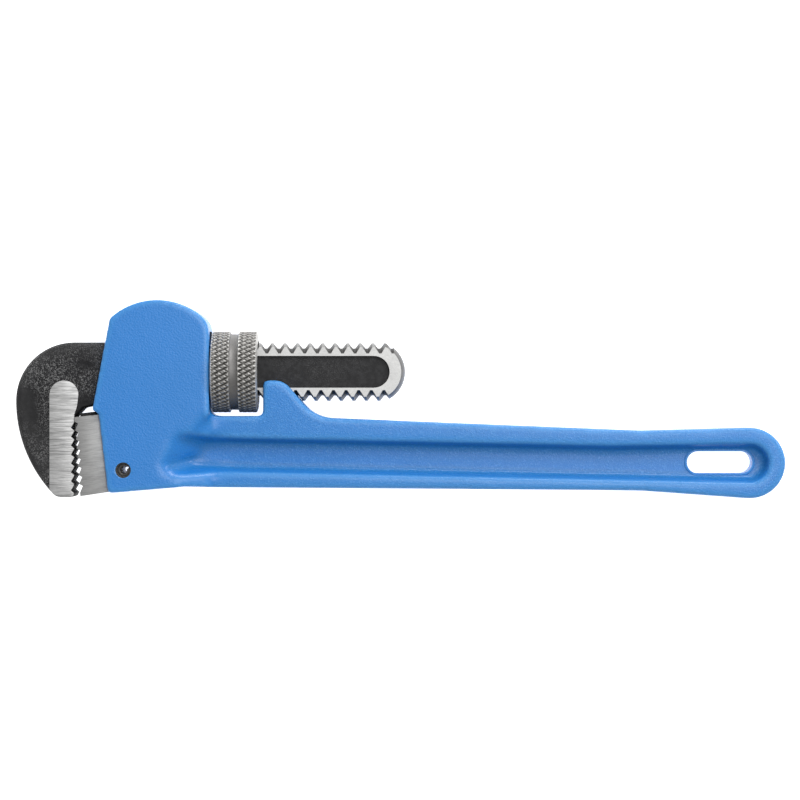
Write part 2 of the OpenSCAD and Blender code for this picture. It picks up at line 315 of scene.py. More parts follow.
def rod(radius: float, start: Corner, end: Corner, segments: int = 48) -> bpy.types.Object:
    """Returns a round bar between two points."""
    mesh = bmesh.new()
    way = Vector(end) - Vector(start)
    turn = way.to_track_quat("Z", "Y").to_matrix().to_4x4()
    place = Matrix.Translation((Vector(start) + Vector(end)) / 2) @ turn
    bmesh.ops.create_cone(mesh, cap_ends=True, segments=segments, radius1=radius, radius2=radius,
                          depth=way.length, matrix=place)
    return to_object(mesh, "rod")


def block(low: Corner, high: Corner) -> bpy.types.Object:
    """Returns a box between two corners."""
    mesh = bmesh.new()
    size = Vector(high) - Vector(low)
    place = Matrix.Translation((Vector(high) + Vector(low)) / 2) @ Matrix.Diagonal((*size, 1))
    bmesh.ops.create_cube(mesh, size=1.0, matrix=place)
    return to_object(mesh, "block")


def mirrored(piece: bpy.types.Object) -> bpy.types.Object:
    """Adds a piece's mirror image on the wrench's other side to it."""
    mesh = bmesh.new()
    mesh.from_mesh(piece.data)
    copy = bmesh.ops.duplicate(mesh, geom=mesh.verts[:] + mesh.edges[:] + mesh.faces[:])["geom"]
    bmesh.ops.scale(mesh, verts=only(copy, bmesh.types.BMVert), vec=(1, 1, -1))
    bmesh.ops.reverse_faces(mesh, faces=only(copy, bmesh.types.BMFace))
    mesh.to_mesh(piece.data)
    mesh.free()
    return piece


def threaded_rod(root: float, crest: float, pitch: float, first: int, turns: int, form: list[Point],
                 shift: float = 0.0) -> bpy.types.Object:
    """Turns a single-start right-hand thread about the x axis.

    Args:
        root: the thread's smaller radius.
        crest: its larger radius.
        pitch: distance from crest to crest.
        first: the turn that it starts at, counted from x = 0.
        turns: how many turns it has.
        form: share of a pitch and share of the depth at each point of one tooth, the last one pitch on.
        shift: how far the form is moved along x, as a share of a pitch.

    Returns:
        A closed solid.
    """
    steps = 72
    mesh = bmesh.new()
    line = [mesh.verts.new(((first + at + shift) * pitch, root + (crest - root) * rise, 0))
            for at, rise in form]
    edges = [mesh.edges.new(pair) for pair in zip(line, line[1:])]
    bmesh.ops.spin(mesh, geom=line + edges, cent=(0, 0, 0), axis=(1, 0, 0), dvec=(pitch / steps, 0, 0),
                   angle=math.tau * turns, steps=steps * turns, use_merge=False)
    bmesh.ops.remove_doubles(mesh, verts=mesh.verts[:], dist=0.01)
    middle = (first + turns / 2) * pitch
    for side in (-1, 1):
        open_edges = [edge for edge in mesh.edges if edge.is_boundary
                      and (edge.verts[0].co.x - middle) * side > 0]
        grown = bmesh.ops.extrude_edge_only(mesh, edges=open_edges)["geom"]
        tip = (middle + side * (turns / 2 + 1.5) * pitch, 0, 0)
        bmesh.ops.pointmerge(mesh, verts=only(grown, bmesh.types.BMVert), merge_co=tip)
    bmesh.ops.recalc_face_normals(mesh, faces=mesh.faces)
    return to_object(mesh, "thread")


def mark_rims(piece: bpy.types.Object, reach: float, rounds: int = 0) -> None:
    """Writes how far each point stands out of its surroundings, as the attribute that wear, painted
    highlights on rims and painted shade in hollows follow.

    Args:
        piece: the piece, in bench millimetres.
        reach: how far a point has to stand out to count fully, in millimetres.
        rounds: how often the values are averaged with their neighbours'.
    """
    data = piece.data
    count = len(data.vertices)
    co = np.empty(count * 3)
    data.vertices.foreach_get("co", co)
    co = co.reshape(-1, 3)
    normals = np.empty(count * 3)
    data.vertices.foreach_get("normal", normals)
    normals = normals.reshape(-1, 3)
    ends = np.empty(len(data.edges) * 2, dtype=np.int64)
    data.edges.foreach_get("vertices", ends)
    ends = ends.reshape(-1, 2)
    both = np.concatenate([ends, ends[:, ::-1]])
    degree = np.maximum(np.bincount(both[:, 0], minlength=count), 1)

    def around(values: np.ndarray) -> np.ndarray:
        """Returns each point's mean over its neighbours."""
        return np.bincount(both[:, 0], weights=values[both[:, 1]], minlength=count) / degree

    offset = co - np.stack([around(co[:, axis]) for axis in range(3)], axis=1)
    rim = np.clip((offset * normals).sum(axis=1) / reach, -1, 1)
    for _ in range(rounds):
        rim = (rim + around(rim)) / 2
    layer = data.attributes.new(RIM, "FLOAT", "POINT")
    layer.data.foreach_set("value", rim.astype(np.float32))


def shade(piece: bpy.types.Object, crease: float) -> None:
    """Shades a piece smoothly, except over edges sharper than a crease angle in degrees."""
    mesh = bmesh.new()
    mesh.from_mesh(piece.data)
    for face in mesh.faces:
        face.smooth = True
    for edge in mesh.edges:
        edge.smooth = len(edge.link_faces) == 2 and edge.calc_face_angle(0.0) < math.radians(crease)
    mesh.to_mesh(piece.data)
    mesh.free()


# ---- Finishes ----


class Value:
    """A number socket of a shader, which takes part in Python arithmetic."""

    def __init__(self, graph: "Graph", socket: bpy.types.NodeSocket) -> None:
        """Wraps a socket of a graph."""
        self.graph = graph
        self.socket = socket

    def _math(self, operation: str, *terms: object) -> "Value":
        """Returns the result of a Math node on some terms."""
        return self.graph.add("ShaderNodeMath", dict(enumerate(terms)), operation=operation)

    def __add__(self, other: object) -> "Value":
        """Returns self + other."""
        return self._math("ADD", self, other)

    __radd__ = __add__

    def __sub__(self, other: object) -> "Value":
        """Returns self - other."""
        return self._math("SUBTRACT", self, other)

    def __rsub__(self, other: object) -> "Value":
        """Returns other - self."""
        return self._math("SUBTRACT", other, self)

    def __mul__(self, other: object) -> "Value":
        """Returns self * other."""
        return self._math("MULTIPLY", self, other)

    __rmul__ = __mul__

    def between(self, low: float, high: float) -> "Value":
        """Returns 0 below low, 1 above high and a smooth step between them."""
        settings = {"interpolation_type": "SMOOTHSTEP"}
        return self.graph.add("ShaderNodeMapRange", {0: self, 1: low, 2: high, 3: 0.0, 4: 1.0}, **settings)


class Graph:
    """The node tree of one material, with a Principled shader at its end."""

    def __init__(self, name: str) -> None:
        """Starts a material with a bare Principled shader."""
        self.material = bpy.data.materials.new(name)
        self.material.use_nodes = True
        self.tree = self.material.node_tree
        self.tree.nodes.clear()
        self.shader = self.tree.nodes.new("ShaderNodeBsdfPrincipled")
        output = self.tree.nodes.new("ShaderNodeOutputMaterial")
        self.tree.links.new(self.shader.outputs[0], output.inputs[0])
        self.place = self.add("ShaderNodeTexCoord", {}, "Object")

    def plug(self, socket: bpy.types.NodeSocket, value: object) -> None:
        """Links a value to a socket, or sets the socket where it is a plain number or colour."""
        if isinstance(value, Value):
            self.tree.links.new(value.socket, socket)
        elif isinstance(value, tuple) and socket.type == "RGBA":
            socket.default_value = (*value, 1.0)
        else:
            socket.default_value = value

    def add(self, kind: str, inputs: dict[str | int, object], output: str | int = 0,
            **settings: object) -> Value:
        """Adds a node.

        Args:
            kind: the node's type.
            inputs: values or links of its sockets, by name or number.
            output: the socket that is handed back.
            **settings: the node's own settings, which are set first.

        Returns:
            The output socket.
        """
        node = self.tree.nodes.new(kind)
        for key, value in settings.items():
            setattr(node, key, value)
        for key, value in inputs.items():
            self.plug(node.inputs[key], value)
        return Value(self, node.outputs[output])

    def noise(self, size: float, detail: float, rough: float, place: Value | None = None) -> Value:
        """Returns noise whose features have a size in millimetres."""
        return self.add("ShaderNodeTexNoise", {"Vector": place or self.place, "Scale": 1 / (size * MM),
                                               "Detail": detail, "Roughness": rough})

    def stretched(self, along: Corner, degrees: float) -> Value:
        """Returns the place, turned about z and scaled along each axis, for grain that runs one way."""
        turn = (0, 0, math.radians(degrees))
        turned = self.add("ShaderNodeMapping", {"Vector": self.place, "Rotation": turn})
        return self.add("ShaderNodeMapping", {"Vector": turned, "Scale": along})

    def mix(self, share: object, low: object, high: object) -> Value:
        """Returns a mix of two colours."""
        return self.add("ShaderNodeMix", {0: share, 6: low, 7: high}, 2, data_type="RGBA")

    def across(self) -> Value:
        """Returns the place along the wrench's length, in metres."""
        return self.add("ShaderNodeSeparateXYZ", {0: self.place}, "X")

    def rim(self) -> Value:
        """Returns how far the surface stands out, from the piece's own attribute."""
        return self.add("ShaderNodeAttribute", {}, "Fac", attribute_name=RIM)

    def bump(self, height: Value, depth: float, under: Value | None = None) -> Value:
        """Returns a normal bent by a height field whose full depth is given in millimetres."""
        inputs: dict[str | int, object] = {"Height": height, "Distance": depth * MM, "Strength": 1.0}
        if under:
            inputs["Normal"] = under
        return self.add("ShaderNodeBump", inputs)

    def shine(self, **sockets: object) -> bpy.types.Material:
        """Sets the shader's sockets, named with _ for each space, and returns the material."""
        for key, value in sockets.items():
            self.plug(self.shader.inputs[key.replace("_", " ")], value)
        return self.material


@dataclass(frozen=True)
class PowderCoat:
    """Blue powder coat over a sand-cast skin.

    Args:
        colour: the coat's own colour.
        highlight_and_fleck: lighter blue that is painted on its rims as a highlight, and the colour of the
            light flecks in its cast skin.
        deep: darker blue of the coat's random mottle, and of the painted shade in its hollows.
        peel: size of the orange peel, in millimetres.
        rough_from: where the rougher skin of the handle begins, along the wrench, in metres.
    """

    colour: Colour = (0.013, 0.205, 0.62)
    highlight_and_fleck: Colour = (0.12, 0.41, 0.82)
    deep: Colour = (0.011, 0.175, 0.48)
    peel: float = 0.8
    rough_from: float = -0.084

    def build(self) -> bpy.types.Material:
        """Returns the material."""
        graph = Graph("blue_powder_coat")
        cloud = graph.noise(34, 3, 0.55)
        grain = graph.noise(0.55, 2, 0.6)
        peel = graph.noise(self.peel, 2, 0.5)
        sand = graph.noise(5.5, 4, 0.55)
        rim = graph.rim()
        rough_cast = (graph.across() - self.rough_from).between(0.0, 0.02)
        base = graph.mix(cloud.between(0.3, 0.75) * 0.2, self.colour, self.deep)
        # Painted highlight: rims that stand out are mixed towards a lighter blue.
        base = graph.mix(rim.between(0.12, 0.8) * 0.3, base, self.highlight_and_fleck)
        # Painted shade: hollows are mixed towards the darker blue.
        base = graph.mix((0.0 - rim).between(0.04, 0.5) * 0.8, base, self.deep)
        base = graph.mix(grain.between(0.52, 0.68) * (rough_cast * 0.34 + 0.06), base, self.highlight_and_fleck)
        normal = graph.bump(sand, 0.12)
        normal = graph.bump(peel, 0.17, normal)
        normal = graph.bump(grain * (rough_cast * 0.8 + 0.2), 0.34, normal)
        return graph.shine(Base_Color=base, Roughness=0.30 + cloud * 0.10 + grain * 0.12, Normal=normal,
                           Coat_Weight=0.3, Coat_Roughness=0.2, Specular_IOR_Level=0.5)


@dataclass(frozen=True)
class Forging:
    """Black oxide on a hot-forged steel skin.

    Args:
        name: the material's name.
        colour: the oxide's colour.
        fleck: colour of the worn flecks.
        cover: share of the surface that the flecks take.
    """

    name: str = "black_forging"
    colour: Colour = (0.014, 0.014, 0.015)
    fleck: Colour = (0.36, 0.36, 0.36)
    cover: float = 0.6

    def build(self) -> bpy.types.Material:
        """Returns the material."""
        graph = Graph(self.name)
        patch = graph.noise(17, 2, 0.5)
        speck = graph.noise(0.5, 3, 0.75)
        scale = graph.noise(2.0, 4, 0.6)
        rim = graph.rim()
        worn = patch.between(0.36, 0.66) * speck.between(0.50, 0.62) * self.cover
        worn = worn + rim.between(0.1, 0.6) * 0.05
        base = graph.mix(scale.between(0.35, 0.7) * 0.5, self.colour, tuple(2.1 * c for c in self.colour))
        base = graph.mix(worn, base, self.fleck)
        normal = graph.bump(scale, 0.1)
        normal = graph.bump(speck, 0.035, normal)
        return graph.shine(Base_Color=base, Roughness=0.58 + speck * 0.2, Normal=normal, Metallic=0.1,
                           Specular_IOR_Level=0.16)


@dataclass(frozen=True)
class GroundSteel:
    """Bright steel with the lines that a grinding belt leaves.

    Args:
        name: the material's name.
        colour: the steel's colour.
        dark: colour in the deepest lines.
        degrees: direction of the lines, from the wrench's length.
        line: width of a line, in millimetres.
        run: how much longer than wide a line is.
        bite: how strongly the lines show.
    """

    name: str
    colour: Colour = (0.62, 0.62, 0.61)
    dark: Colour = (0.30, 0.30, 0.30)
    degrees: float = 0.0
    line: float = 0.28
    run: float = 22.0
    bite: float = 0.5

    def build(self) -> bpy.types.Material:
        """Returns the material."""
        graph = Graph(self.name)
        along = graph.stretched((1 / self.run, 1.0, 1.0), self.degrees)
        lines = graph.noise(self.line, 4, 0.6, along)
        broad = graph.noise(self.line * 5, 2, 0.5, along)
        speck = graph.noise(0.4, 2, 0.6)
        cloud = graph.noise(11, 3, 0.5)
        share = (lines.between(0.38, 0.66) * 0.7 + broad.between(0.4, 0.7) * 0.3) * self.bite
        base = graph.mix(share, self.colour, self.dark)
        base = graph.mix(cloud.between(0.4, 0.75) * 0.18 + speck.between(0.5, 0.75) * 0.14, base, self.dark)
        normal = graph.bump(lines, 0.03 * self.bite)
        normal = graph.bump(speck, 0.01, normal)
        return graph.shine(Base_Color=base, Roughness=0.42 + lines * 0.14, Normal=normal, Metallic=0.55,
                           Specular_IOR_Level=0.5)


@dataclass(frozen=True)
class GunMetal:
    """Machined steel with a thin grey-brown oxide, rubbed bright and painted with a highlight where it stands
    out, and painted with shade in its hollows.

    Args:
        name: the material's name.
        colour: the oxide's colour.
        bright: colour of its rubbed rims, which also serves as a painted highlight on them.
        rub_and_highlight: how much of the rims is rubbed bright and painted as a highlight.
        hollow_shading: how dark the painted shade in its hollows is.
        shading_colour: colour of that painted shade.
    """

    name: str
    colour: Colour = (0.17, 0.164, 0.155)
    bright: Colour = (0.60, 0.59, 0.57)
    rub_and_highlight: float = 0.95
    hollow_shading: float = 0.9
    shading_colour: Colour = (0.010, 0.009, 0.008)

    def build(self) -> bpy.types.Material:
        """Returns the material."""
        graph = Graph(self.name)
        cloud = graph.noise(8, 3, 0.55)
        grain = graph.noise(0.35, 3, 0.6)
        rim = graph.rim()
        base = graph.mix(cloud.between(0.35, 0.7) * 0.5, self.colour, tuple(0.6 * c for c in self.colour))
        # Painted shade: hollows are darkened towards the shading colour.
        base = graph.mix((0.0 - rim).between(0.03, 0.4) * self.hollow_shading, base, self.shading_colour)
        # Rims are rubbed bright and also carry a painted highlight; the grain adds random bright flecks.
        wear_and_highlight = rim.between(0.1, 0.7) * self.rub_and_highlight + grain.between(0.5, 0.75) * 0.15
        base = graph.mix(wear_and_highlight, base, self.bright)
        normal = graph.bump(grain, 0.02)
        return graph.shine(Base_Color=base, Roughness=0.40 + grain * 0.16, Normal=normal, Metallic=0.6,
                           Specular_IOR_Level=0.5)


class Slot(Enum):
    """The record's material slots."""

    PAINT = "blue_paint"
    FORGING = "black_forging"
    NUT = "nut_steel"
    JAW = "jaw_steel"
    SPRING = "spring_steel"


def dress(piece: bpy.types.Object, *materials: bpy.types.Material) -> None:
    """Gives a piece its materials, in the order that its faces count them."""
    piece.data.materials.clear()
    for material in materials:
        piece.data.materials.append(material)


def finish_piece(bench: Bench, piece: bpy.types.Object, name: str, body: str, slot: Slot,
                 *nodes: str) -> None:
    """Names a piece, moves it into the frame and ties it to its body.

    Args:
        bench: the bench it was drawn on.
        piece: the piece, in bench millimetres.
        name: its name.
        body: the CAD body that it rides on, or nothing for a piece that is tied to no body.
        slot: the record's material slot; not used.
        *nodes: the CAD nodes that it stands for.
    """
    piece.name = name
    piece.data.name = name
    bench.place(piece)
    if body:
        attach(piece, body)
    if nodes:
        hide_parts(*nodes)
    LOG.info("%s: %d faces on body %s", name, len(piece.data.polygons), body or "pair")


# ---- Sub-assemblies ----


@dataclass
class HandleCasting:
    """The handle with its housing, fork and hanging slot, in one casting.

    Args:
        bench: the bench that it is drawn on.
        web_t: thickness of the web between the flanges.
        flange_w: width of each flange.
        end_r: radius of the round end.
        hang: length and width of the hanging slot.
        lip_w: width of the lip around that slot.
        lip_h: how far the lip stands over the web.
        hump_r: radius of the hump.
        rear_r: radius of the hump's rear corner.
        front_a: angle where the hump meets the front edge.
        housing_len: from the nut's face to the top of the heel jaw's seat.
        seat_tilt: lean of that seat, in degrees.
        window_len: length of the nut's window.
        window_floor: height of the window's floor.
        passage_w: width of the shank's passage.
        passage_y: lowest and highest point of that passage.
        fork_floor: height of the floor between the fork's arms.
        spring_hole: width of the coil spring's pocket and height of its roof.
        tongue: depth, thickness and length of the pocket for the heel jaw's tongue.
        pin_r: radius of the spring pin's hole.
        mouth_depth: depth of the pocket for the hook's shoulder.
        mouth_half: half that pocket's width.
        handle_half: half the handle's thickness.
        voxel: size of the cells that the cast skin is made of.
        fillets: rounds of smoothing, which make the cast fillets.
    """

    bench: Bench
    web_t: float = 8.0
    flange_w: float = 6.6
    end_r: float = 14.9
    hang: Point = (27.5, 9.2)
    lip_w: float = 1.2
    lip_h: float = 0.45
    hump_r: float = 29.0
    rear_r: float = 9.0
    front_a: float = 134.0
    housing_len: float = 46.2
    seat_tilt: float = 6.8
    window_len: float = 22.4
    window_floor: float = -18.6
    passage_w: float = 13.6
    passage_y: Point = (-12.75, 17.0)
    fork_floor: float = -15.5
    spring_hole: Point = (9.4, 25.4)
    tongue: Corner = (13.5, 10.4, 25.0)
    pin_r: float = 2.53
    mouth_depth: float = 2.8
    mouth_half: float = 9.95
    handle_half: float = 10.0
    voxel: float = 0.85
    fillets: int = 7

    def __post_init__(self) -> None:
        """Reads the outer sizes from the frame and works out the main points."""
        low, high = self.bench.box("handle")
        self.reach = high.x
        self.low = low.y
        self.housing_half = high.z
        hump_in, lip_out, foot_in, waist_in, hang_in = 24.4, 2.7, 36.0, 60.0, 12.3
        belly_rise, waist_drop, waist_h, lug_step = 4.7, 1.3, 25.1, 0.85
        self.hump = (-self.housing_len + hump_in, high.y - self.hump_r)
        self.top = self.window_floor - lug_step
        self.end = (self.reach - self.end_r, self.low + self.end_r)
        self.belly = self.low + belly_rise
        self.waist_x = self.reach - waist_in
        self.waist_top = self.belly - waist_drop + waist_h
        self.foot = (-self.housing_len + foot_in, self.belly + 0.3)
        self.lip = (-self.housing_len - lip_out, -16.25)
        self.seat = (-self.housing_len, -17.45)
        self.hang_at = (self.end[0] - hang_in, self.end[1] + 0.2)
        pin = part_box("heel_jaw_pin")
        middle = ((pin[0] + pin[1]) / 2 - self.bench.origin) / MM
        self.pin_at = (middle.x, middle.y)

    def along_seat(self, run: float, inward: float = 0.0) -> Point:
        """Returns a point so far down the heel jaw's seat, and so far into the housing."""
        tilt = math.radians(self.seat_tilt)
        return (self.seat[0] + run * math.sin(tilt) + inward * math.cos(tilt),
                self.seat[1] - run * math.cos(tilt) + inward * math.sin(tilt))

    def housing(self) -> bpy.types.Object:
        """Returns the housing as a block with a rounded hump and rear edge, and crisper front edges."""
        rear_in = self.rear_r + self.hump[0]
        rear_y = self.hump[1] + math.sqrt((self.hump_r - self.rear_r) ** 2 - rear_in ** 2)
        turn = math.degrees(math.atan2(rear_y - self.hump[1], -self.rear_r - self.hump[0]))
        lip_r, seat_len, crisp_x, block_rim = 1.2, 33.7, -40.0, 8.5
        sketch = Sketch().to(self.lip, radius=lip_r)
        sketch.to(self.seat, self.along_seat(seat_len), self.foot, (0, self.belly))
        sketch.arc((-self.rear_r, rear_y), self.rear_r, 0, turn, 8)
        sketch.arc(self.hump, self.hump_r, turn + 3, self.front_a - 1, 24)

        def share(middle: Vector) -> float:
            """Returns a small radius on the front and low edges and the full one on the hump."""
            if middle.x < crisp_x:
                return 0.1
            if middle.x > -self.rear_r:
                return 0.75
            return 0.2 if middle.y < self.window_floor else 1.0

        housing = slab(sketch, -self.housing_half, self.housing_half, block_rim, 6, share)
        return combine(housing, "DIFFERENCE", self.ramps())

    def beam(self) -> bpy.types.Object:
        """Returns the handle's bar with the fork at its front."""
        sweep_r, shoulder_r, nose_r, corner_r, root_r = 17.0, 8.4, 2.0, 1.6, 3.2
        crest, buried, rim = -3.6, -24.0, 4.2
        lug, floor = self.window_len, self.window_floor
        sketch = Sketch().to((buried, self.belly + 1.2), self.foot, (0, self.belly))
        sketch.to((self.waist_x - 20, self.belly - 1.2), (self.waist_x, self.belly - 1.5))
        sketch.arc(self.end, self.end_r, -94, 94, 32).to((self.waist_x, self.waist_top))
        sketch.arc((lug + 30, self.top + sweep_r), sweep_r, 270, 220, 10)
        sketch.arc((lug + 4.8, crest - shoulder_r), shoulder_r, 40, 92, 8)
        sketch.arc((lug + nose_r, crest - nose_r), nose_r, 90, 180, 6)
        sketch.arc((lug - corner_r, floor + corner_r), corner_r, 360, 270, 5)
        sketch.arc((root_r, floor + root_r), root_r, 270, 180, 5).to((buried, floor + root_r))

        def share(middle: Vector) -> float:
            """Returns a small radius on the lug and in the nut's window, and the full one on the flanges."""
            return 0.4 if middle.y > floor - 0.2 else 1.0

        return slab(sketch, -self.handle_half, self.handle_half, rim, 6, share)

    def ramps(self) -> bpy.types.Object:
        """Returns the wedges that thin the housing down to the handle below the nut's window."""
        end, short, long, drop = 4.0, -1.5, -13.0, 11
        outside = self.housing_half + 5

        def outline(start: float) -> Sketch:
            """Returns one end of a wedge that starts at a place along the housing."""
            return Sketch().to((start, self.housing_half + 0.01), (end, self.handle_half - 0.2),
                               (end, outside), (start, outside))

        level = -self.window_floor
        upper = loft(outline(short), level - 0.4, outline(long), level + drop)
        lower = loft(outline(long), level + drop - 0.01, outline(long), 20 - self.belly)
        wedge = combine(upper, "UNION", lower)
        wedge.data.transform(Matrix.Rotation(math.radians(90), 4, "X"))
        return mirrored(wedge)

    def blend(self, cast: bpy.types.Object) -> None:
        """Smooths the casting where the housing runs into the handle, but not the nut's window."""
        middle, near, far = -8.0, 11.0, 18.0
        window_x, rounds = -1.5, 40
        below_window, below_wall = (-0.6, 3.5), (9, 8)
        group = cast.vertex_groups.new(name="shoulder")
        for vert in cast.data.vertices:
            x, y, _ = vert.co
            along = 1 - (abs(x - middle) - near) / (far - near)
            start, run = below_wall if x < window_x else below_window
            under = (self.window_floor + start - y) / run
            over = (y - self.belly - 0.8) / 2.5
            weight = min(along, under, over, 1.0)
            if weight > 0:
                group.add([vert.index], weight, "REPLACE")
        modify(cast, "SMOOTH", factor=0.5, iterations=rounds, vertex_group="shoulder")

    def hollow(self, inset: float, left: float) -> Sketch:
        """Returns the outline of the handle's hollow side, drawn in by an inset from its rim."""
        roof_drop, lean, corner_r = 8.7, 4.0, 5
        floor = self.belly + self.flange_w + inset
        roof = self.window_floor - roof_drop - inset
        sketch = Sketch().arc((left - lean + corner_r, floor + corner_r), corner_r, 180, 270, 6)
        sketch.arc(self.end, self.end_r - self.flange_w - inset, -90, 90, 20)
        sketch.to((self.waist_x - 14, self.waist_top - self.flange_w - inset + 0.5))
        return sketch.arc((left + corner_r, roof - corner_r), corner_r, 90, 180, 6)

    def hollows(self) -> bpy.types.Object:
        """Returns the solid that cuts both hollow sides, which run out softly towards the housing."""
        draft, left_in, left_out = 2.0, -4.0, -17.5
        deep, out = self.web_t / 2, self.housing_half + 1
        slope = draft / (self.handle_half - deep)
        outer = self.hollow(draft - slope * (out - deep), left_out)
        cut = loft(self.hollow(draft, left_in), deep, outer, out)
        return mirrored(cut)

    def slot(self, grow: float, half: float, rim: float = 0.0) -> bpy.types.Object:
        """Returns a bar with round ends that fills the hanging slot, grown by an amount."""
        length, width = self.hang
        run, r = (length - width) / 2, width / 2 + grow
        x, y = self.hang_at
        sketch = Sketch().arc((x + run, y), r, -90, 90, 16).arc((x - run, y), r, 90, 270, 16)
        return slab(sketch, -half, half, rim, 3)

    def cuts(self) -> list[bpy.types.Object]:
        """Returns the solids of every machined cut."""
        half = self.passage_w / 2
        low, high = self.passage_y
        width, top = self.spring_hole
        tongue_l, tongue_t, tongue_h = self.tongue
        passage = block((-70, low, -half), (1, high, half))
        spring = rod(width / 2, (self.hump[0], high - 1, 0), (self.hump[0], top, 0))
        sway, sway_h = self.hump[0] + 1.5, 4.6
        relief = rod(width / 2, (sway, high - 1, 0), (sway, high + sway_h, 0))
        fork = block((self.window_len - 2, self.fork_floor, -half), (self.window_len + 60, THROUGH, half))
        first = 4.5
        last = first + tongue_h
        pocket = Sketch().to(self.along_seat(first, -1), self.along_seat(last, -1),
                             self.along_seat(last, tongue_l), self.along_seat(first, tongue_l))
        tongue = slab(pocket, -tongue_t / 2, tongue_t / 2)
        away = -90
        front = Sketch().to(self.along_seat(-0.01), self.along_seat(45), (away, self.along_seat(45)[1]),
                            (away, self.seat[1]), (-60, self.seat[1] + 0.01))
        seat = slab(front, -THROUGH, THROUGH)
        return [passage, self.mouth(), spring, relief, fork, tongue, self.pin_drill(), seat,
                self.countersinks()]

    def pin_drill(self) -> bpy.types.Object:
        """Returns the drill for the spring pin, which goes through the housing and the heel jaw's tongue."""
        return rod(self.pin_r, (*self.pin_at, -THROUGH), (*self.pin_at, THROUGH))

    def countersinks(self) -> bpy.types.Object:
        """Returns the cones that break the edges of the pin's hole."""
        mesh = bmesh.new()
        wide, deep = self.pin_r + 0.75, 0.7
        place = Matrix.Translation((*self.pin_at, self.housing_half - deep / 2 + 0.02))
        bmesh.ops.create_cone(mesh, cap_ends=True, segments=48, radius1=self.pin_r - 0.1, radius2=wide,
                              depth=deep, matrix=place)
        return mirrored(to_object(mesh, "countersink"))

    def front_x(self, y: float) -> float:
        """Returns where the housing's front edge stands at a height."""
        top = polar(self.hump, self.hump_r, self.front_a)
        return self.lip[0] + (y - self.lip[1]) * (top[0] - self.lip[0]) / (top[1] - self.lip[1])

    def mouth(self) -> bpy.types.Object:
        """Returns the shallow pocket in the housing's front that takes the hook's shoulder."""
        low, high = self.passage_y[0] - 1.5, self.passage_y[1]
        depth = self.mouth_depth
        sketch = Sketch().to((-70, low), (self.front_x(low) + depth, low), (self.front_x(high) + depth, high),
                             (-70, high))
        return slab(sketch, -self.mouth_half, self.mouth_half)

    def is_bored(self, at: Vector, normal: Vector) -> bool:
        """Tells whether a face is in a machined hole, which the coat doesn't reach."""
        play = 0.06
        low, high = self.passage_y
        side = abs(at.z)
        in_mouth = at.x < self.front_x(at.y) + self.mouth_depth + play and side < self.mouth_half + play
        in_passage = side < self.passage_w / 2 + play and low - play < at.y < high + play and at.x < 1
        in_pin = math.dist(self.pin_at, (at.x, at.y)) < self.pin_r + 0.8 and abs(normal.z) < 0.95
        return in_passage or in_pin or (in_mouth and low - 1.6 < at.y < high + play)

    def build(self, finish: PowderCoat, bare: Forging) -> None:
        """Casts, fettles and machines the handle.

        Args:
            finish: its coat.
            bare: finish inside its machined holes.
        """
        cast = combine(self.housing(), "UNION", self.beam())
        combine(cast, "DIFFERENCE", self.hollows())
        modify(cast, "REMESH", mode="VOXEL", voxel_size=self.voxel, adaptivity=0.0)
        modify(cast, "SMOOTH", factor=0.5, iterations=self.fillets)
        self.blend(cast)
        lip = self.slot(self.lip_w, self.web_t / 2 + self.lip_h, 0.6)
        combine(cast, "UNION", lip)
        combine(cast, "DIFFERENCE", self.slot(0, THROUGH), *self.cuts())
        mark_rims(cast, reach=0.05, rounds=5)
        shade(cast, crease=40)
        dress(cast, finish.build(), bare.build())
        for polygon in cast.data.polygons:
            polygon.material_index = int(self.is_bored(polygon.center, polygon.normal))
        finish_piece(self.bench, cast, "handle_casting", "handle", Slot.PAINT, "handle")


